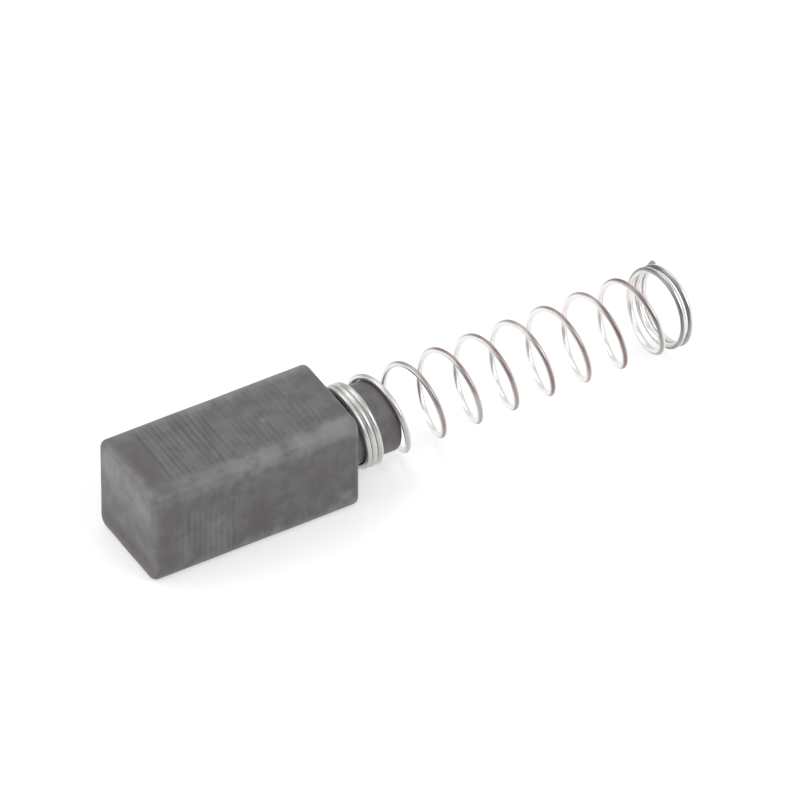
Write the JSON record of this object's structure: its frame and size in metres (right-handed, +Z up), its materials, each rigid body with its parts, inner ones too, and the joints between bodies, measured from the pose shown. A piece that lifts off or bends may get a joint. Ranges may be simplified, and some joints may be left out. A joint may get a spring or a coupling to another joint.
{
  "type": "carbon brush with spring",
  "caption": "Square carbon motor brush with a turned stud at its back that carries a wire compression spring, lying on one long side.",
  "frame": {"origin": "centre of the contact face, which runs on the commutator", "axes": "+X along the brush from the contact face towards the spring, +Z up with the block lying on one long side, +Y across it"},
  "size_m": [0.0281, 0.005, 0.005],
  "materials": {
    "carbon": "matt pressed carbon-graphite with fine cross-wise machining marks",
    "spring_wire": "bright drawn spring wire"
  },
  "bodies": {
    "root": {"carbon_block": "carbon", "spring": "spring_wire"}
  },
  "joints": []
}
